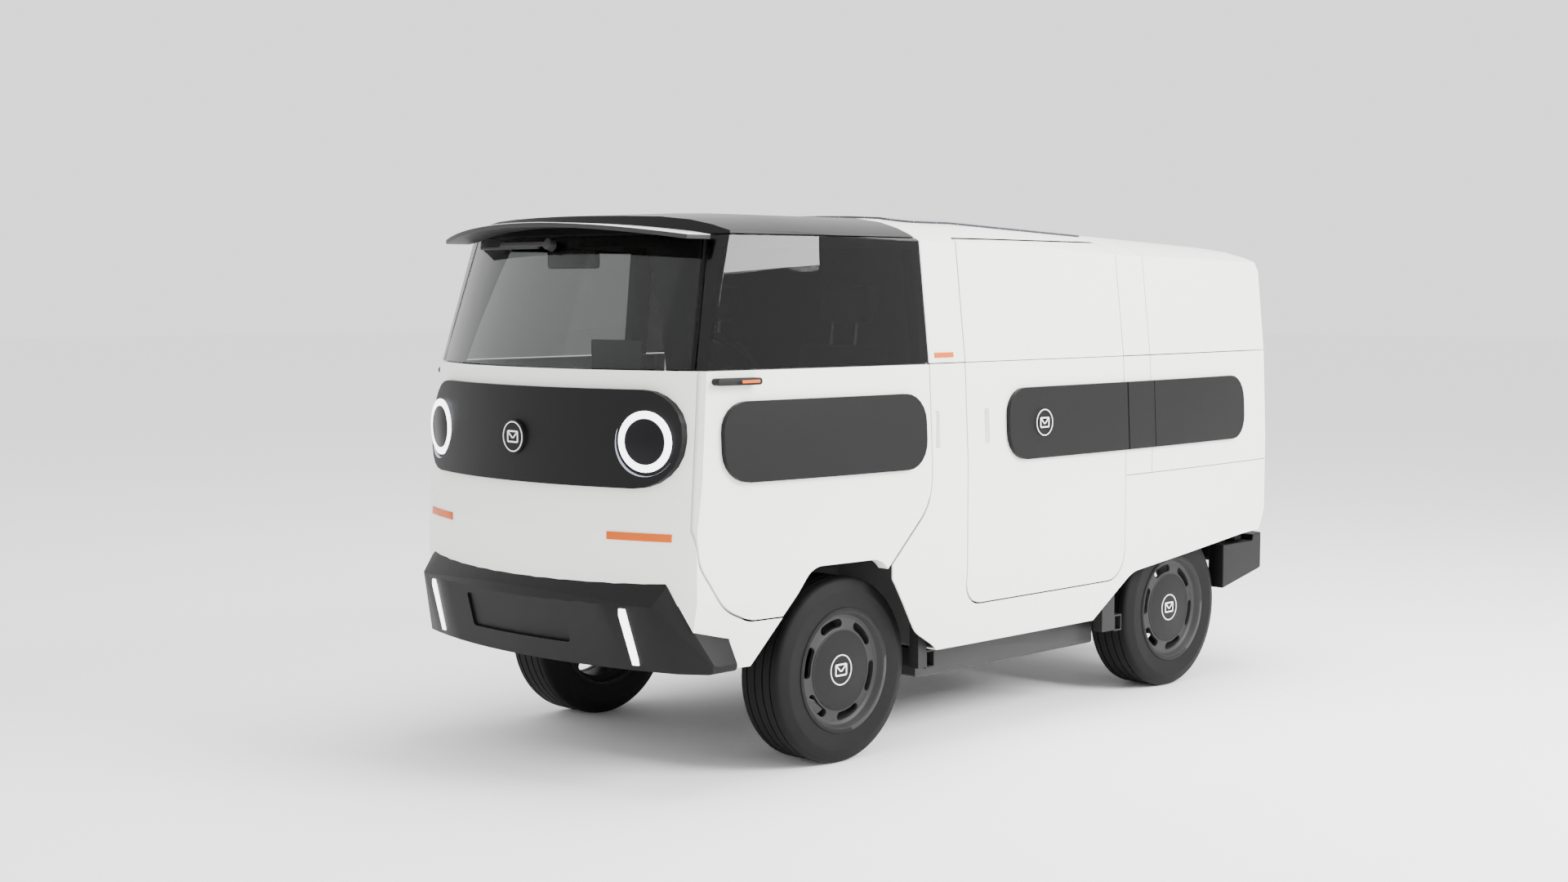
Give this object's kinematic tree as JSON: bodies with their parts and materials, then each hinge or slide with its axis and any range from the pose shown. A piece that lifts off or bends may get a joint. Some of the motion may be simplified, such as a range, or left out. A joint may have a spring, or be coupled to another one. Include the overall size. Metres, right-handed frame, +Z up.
{
  "type": "light electric delivery van",
  "caption": "Compact boxy electric van for mail and parcel rounds, with hinged cab doors, load doors and tailgate, steering and suspension.",
  "frame": {"origin": "centre of the footprint on the ground under the tyres", "axes": "nose along -Y, the left side of the vehicle along +X, up along +Z"},
  "size_m": [1.666, 3.645, 1.919],
  "materials": {
    "painted_body": "gloss",
    "roof_black": "gloss",
    "solar_glass": "gloss",
    "glass_dark": "gloss",
    "visor_white": "gloss",
    "pad_plastic": "satin",
    "lamp_white": "gloss",
    "lamp_amber": "gloss",
    "lamp_red": "gloss",
    "frame_steel": "satin",
    "battery_case": "satin",
    "floor_sheet": "matte",
    "cabin_plastic": "matte",
    "bright_steel": "satin",
    "seat_cloth": "woven",
    "spring_steel": "satin",
    "tyre_rubber": "matte",
    "rim_black": "satin"
  },
  "bodies": {
    "body": {"chassis_frame": "frame_steel", "battery_pack": "battery_case", "floor_pan": "floor_sheet", "cab_frame": "roof_black", "bulkhead": "floor_sheet", "front_panel": "painted_body", "side_panel_left": "painted_body", "side_panel_right": "painted_body", "upper_shell": "painted_body", "rear_panel": "painted_body", "cab_roof": "roof_black", "solar_panel": "solar_glass", "windscreen": "glass_dark", "visor": "visor_white", "front_mask": "pad_plastic", "front_lamps": "lamp_white", "signal_lamps": "lamp_amber", "front_bumper": "pad_plastic", "rear_bumper": "pad_plastic", "tail_pads": "pad_plastic", "dashboard": "cabin_plastic", "spring_left": "spring_steel", "spring_right": "spring_steel", "rear_springs": "spring_steel"},
    "steering_wheel": {"steering_wheel": "cabin_plastic"},
    "steering_rack": {"steering_rack": "bright_steel"},
    "rear_axle": {"rear_axle": "frame_steel"},
    "wiper": {"wiper": "cabin_plastic"},
    "brake_pedal": {"brake_pedal": "bright_steel"},
    "accelerator_pedal": {"accelerator_pedal": "bright_steel"},
    "interior_mirror": {"interior_mirror": "cabin_plastic"},
    "tailgate": {"tailgate": "painted_body", "tail_mask": "pad_plastic", "tail_lamps": "lamp_red"},
    "strut_left": {"strut_left": "frame_steel"},
    "knuckle_left": {"knuckle_left": "frame_steel"},
    "wheel_front_left": {"tyre_front_left": "tyre_rubber", "rim_front_left": "rim_black"},
    "wheel_rear_left": {"tyre_rear_left": "tyre_rubber", "rim_rear_left": "rim_black"},
    "seat_left": {"seat_left": "seat_cloth"},
    "door_left": {"door_left": "painted_body", "door_glass_left": "glass_dark", "door_pad_left": "pad_plastic", "camera_pod_left": "roof_black"},
    "side_door_left": {"side_door_left": "painted_body", "side_door_pad_left": "pad_plastic"},
    "strut_right": {"strut_right": "frame_steel"},
    "knuckle_right": {"knuckle_right": "frame_steel"},
    "wheel_front_right": {"tyre_front_right": "tyre_rubber", "rim_front_right": "rim_black"},
    "wheel_rear_right": {"tyre_rear_right": "tyre_rubber", "rim_rear_right": "rim_black"},
    "seat_right": {"seat_right": "seat_cloth"},
    "door_right": {"door_right": "painted_body", "door_glass_right": "glass_dark", "door_pad_right": "pad_plastic", "camera_pod_right": "roof_black"},
    "side_door_right": {"side_door_right": "painted_body", "side_door_pad_right": "pad_plastic"}
  },
  "joints": [
    {"name": "steering_turn", "type": "hinge", "parent": "body", "child": "steering_wheel", "pos_m": [0.36, -1.1575, 1.36], "axis": [0, 0.766, 0.6428], "range_deg": [-455, 455]},
    {"name": "rack_slide", "type": "slide", "parent": "body", "child": "steering_rack", "axis": [1, 0, 0], "range_m": [-0.075, 0.075]},
    {"name": "strut_left_travel", "type": "slide", "parent": "body", "child": "strut_left", "axis": [0, 0, 1], "range_m": [-0.04, 0.03], "stiffness_N_per_m": 40000, "springref_m": -0.093, "deforming": ["spring_left"]},
    {"name": "steer_left", "type": "hinge", "parent": "strut_left", "child": "knuckle_left", "pos_m": [0.57, -0.9225, 0.325], "axis": [0, 0, 1], "range_deg": [-26.5, 26.5]},
    {"name": "spin_front_left", "type": "hinge", "parent": "knuckle_left", "child": "wheel_front_left", "pos_m": [0.622, -0.9225, 0.325], "axis": [1, 0, 0], "continuous": true},
    {"name": "strut_right_travel", "type": "slide", "parent": "body", "child": "strut_right", "axis": [0, 0, 1], "range_m": [-0.04, 0.03], "stiffness_N_per_m": 40000, "springref_m": -0.093, "deforming": ["spring_right"]},
    {"name": "steer_right", "type": "hinge", "parent": "strut_right", "child": "knuckle_right", "pos_m": [-0.57, -0.9225, 0.325], "axis": [0, 0, 1], "range_deg": [-26.5, 26.5]},
    {"name": "spin_front_right", "type": "hinge", "parent": "knuckle_right", "child": "wheel_front_right", "pos_m": [-0.622, -0.9225, 0.325], "axis": [1, 0, 0], "continuous": true},
    {"name": "rear_axle_travel", "type": "slide", "parent": "body", "child": "rear_axle", "axis": [0, 0, 1], "range_m": [-0.04, 0.03], "stiffness_N_per_m": 90000, "springref_m": -0.0703, "deforming": ["rear_springs"]},
    {"name": "spin_rear_left", "type": "hinge", "parent": "rear_axle", "child": "wheel_rear_left", "pos_m": [0.622, 1.0875, 0.325], "axis": [1, 0, 0], "continuous": true},
    {"name": "door_left_swing", "type": "hinge", "parent": "body", "child": "door_left", "pos_m": [0.737, -1.6305, 0.93], "axis": [0, 0, -1], "range_deg": [0, 66]},
    {"name": "side_door_left_swing", "type": "hinge", "parent": "body", "child": "side_door_left", "pos_m": [0.834, 0.6145, 1], "axis": [0, 0, 1], "range_deg": [0, 90]},
    {"name": "seat_left_slide", "type": "slide", "parent": "body", "child": "seat_left", "axis": [0, 1, 0], "range_m": [-0.1, 0.06]},
    {"name": "spin_rear_right", "type": "hinge", "parent": "rear_axle", "child": "wheel_rear_right", "pos_m": [-0.622, 1.0875, 0.325], "axis": [1, 0, 0], "continuous": true},
    {"name": "door_right_swing", "type": "hinge", "parent": "body", "child": "door_right", "pos_m": [-0.737, -1.6305, 0.93], "axis": [0, 0, 1], "range_deg": [0, 66]},
    {"name": "side_door_right_swing", "type": "hinge", "parent": "body", "child": "side_door_right", "pos_m": [-0.834, 0.6145, 1], "axis": [0, 0, -1], "range_deg": [0, 90]},
    {"name": "seat_right_slide", "type": "slide", "parent": "body", "child": "seat_right", "axis": [0, 1, 0], "range_m": [-0.1, 0.06]},
    {"name": "tailgate_lift", "type": "hinge", "parent": "body", "child": "tailgate", "pos_m": [0, 1.7545, 1.633], "axis": [1, 0, 0], "range_deg": [0, 72]},
    {"name": "wiper_sweep", "type": "hinge", "parent": "body", "child": "wiper", "pos_m": [0, -1.6125, 1.79], "axis": [-0.0994, -0.9458, 0.309], "range_deg": [0, 95]},
    {"name": "brake_pedal_press", "type": "hinge", "parent": "body", "child": "brake_pedal", "pos_m": [0.3, -1.4825, 0.79], "axis": [-1, 0, 0], "range_deg": [0, 15], "stiffness_Nm_per_rad": 3, "springref_deg": -20.05},
    {"name": "accelerator_pedal_press", "type": "hinge", "parent": "body", "child": "accelerator_pedal", "pos_m": [0.4, -1.4825, 0.79], "axis": [-1, 0, 0], "range_deg": [0, 15], "stiffness_Nm_per_rad": 3, "springref_deg": -20.05},
    {"name": "mirror_tilt", "type": "hinge", "parent": "body", "child": "interior_mirror", "pos_m": [0, -1.5265, 1.784], "axis": [1, 0, 0], "range_deg": [-12, 12]}
  ],
  "couplings": [
    {"joint": "rack_slide", "follows": "steering_turn", "m_per_rad": -0.008571},
    {"joint": "steer_left", "follows": "steering_turn", "ratio": 0.057143},
    {"joint": "steer_right", "follows": "steering_turn", "ratio": 0.057143}
  ]
}
